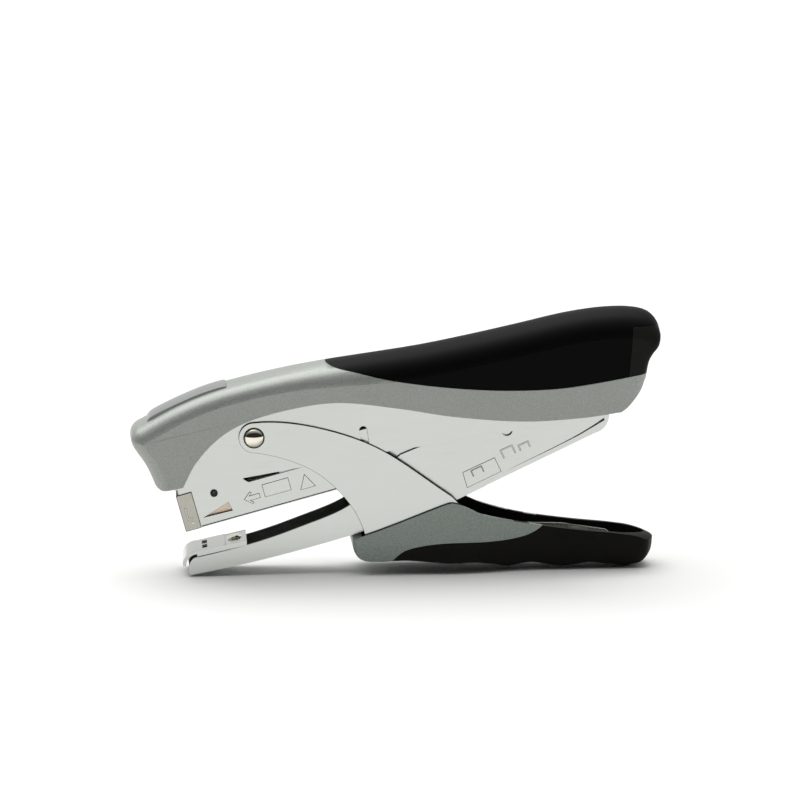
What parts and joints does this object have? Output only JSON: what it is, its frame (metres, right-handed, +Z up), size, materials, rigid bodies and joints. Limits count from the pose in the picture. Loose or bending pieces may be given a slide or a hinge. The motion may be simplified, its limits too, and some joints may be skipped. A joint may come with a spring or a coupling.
{
  "type": "plier stapler",
  "caption": "Plier stapler with a curved covered head, crossed lever and anvil arm, and a sprung hand grip that closes the jaws on paper.",
  "frame": {"origin": "middle of the overall length and width, on the surface the stapler stands on", "axes": "+X from the nose to the handle ends, +Y across the width, +Z up"},
  "size_m": [0.1901, 0.0274, 0.0935],
  "materials": {
    "grey_plastic": "fine metallic satin",
    "pad_plastic": "satin",
    "black_grip": "satin soft-touch",
    "black_plastic": "satin",
    "bright_steel": "bright nickel-chrome plate",
    "hard_steel": "hardened, fine brushed",
    "rivet_nickel": "warm nickel plate",
    "zinc_steel": "zinc plated",
    "spring_wire": "oiled spring wire",
    "staple_wire": "copper-tinted wire"
  },
  "bodies": {
    "upper_handle": {"head_cover": "grey_plastic", "rear_cap": "black_plastic", "top_grip": "black_grip", "thumb_pad": "pad_plastic", "body_frame": "bright_steel", "cover_screws": "zinc_steel", "driver_blade": "hard_steel", "driver_block": "hard_steel", "pivot_rivet": "rivet_nickel", "pivot_tube": "zinc_steel", "rear_pivot_studs": "zinc_steel", "head_spring": "spring_wire"},
    "lower_handle": {"handle_shell": "grey_plastic", "handle_grip": "black_grip", "lever": "bright_steel", "roller_pin": "zinc_steel", "roller_bushes": "black_plastic", "shell_screws": "zinc_steel"},
    "roller": {"lift_roller": "hard_steel"},
    "magazine": {"magazine_channel": "bright_steel", "magazine_front": "hard_steel", "staple_rail": "bright_steel", "staple_strip": "staple_wire", "stop_pin": "hard_steel", "spring_bridge": "zinc_steel", "arm_spring": "spring_wire"},
    "anvil": {"anvil_arm": "bright_steel", "anvil_plate": "bright_steel", "anvil_rivet": "rivet_nickel", "anvil_post": "zinc_steel"},
    "loading_slide": {"guide_rod": "zinc_steel", "load_knob": "black_plastic", "pusher_spring": "spring_wire"},
    "follower": {"pusher": "zinc_steel"}
  },
  "joints": [
    {"name": "handle_squeeze", "type": "hinge", "parent": "upper_handle", "child": "lower_handle", "pos_m": [-0.051, 0, 0.0505], "axis": [0, -1, 0], "range_deg": [0, 11], "stiffness_Nm_per_rad": 6, "springref_deg": -6.88},
    {"name": "roller_spin", "type": "hinge", "parent": "lower_handle", "child": "roller", "pos_m": [-0.001, 0, 0.015], "axis": [0, 1, 0], "continuous": true},
    {"name": "magazine_swing", "type": "hinge", "parent": "upper_handle", "child": "magazine", "pos_m": [0.07064, 0, 0.06085], "axis": [0, 1, 0], "range_deg": [0, 3.41], "deforming": ["head_spring"]},
    {"name": "anvil_close", "type": "hinge", "parent": "magazine", "child": "anvil", "pos_m": [0.07064, 0, 0.06085], "axis": [0, 1, 0], "range_deg": [0, 2.81], "deforming": ["arm_spring"]},
    {"name": "loading_pull", "type": "slide", "parent": "magazine", "child": "loading_slide", "axis": [0.9659, 0, 0.2588], "range_m": [0, 0.12]},
    {"name": "follower_feed", "type": "slide", "parent": "loading_slide", "child": "follower", "axis": [0.9659, 0, 0.2588], "range_m": [0, 0.06], "stiffness_N_per_m": 60, "springref_m": -0.06, "deforming": ["pusher_spring"]}
  ],
  "couplings": [
    {"joint": "magazine_swing", "follows": "handle_squeeze", "ratio": 0.30909},
    {"joint": "anvil_close", "follows": "handle_squeeze", "ratio": 0.25455}
  ]
}
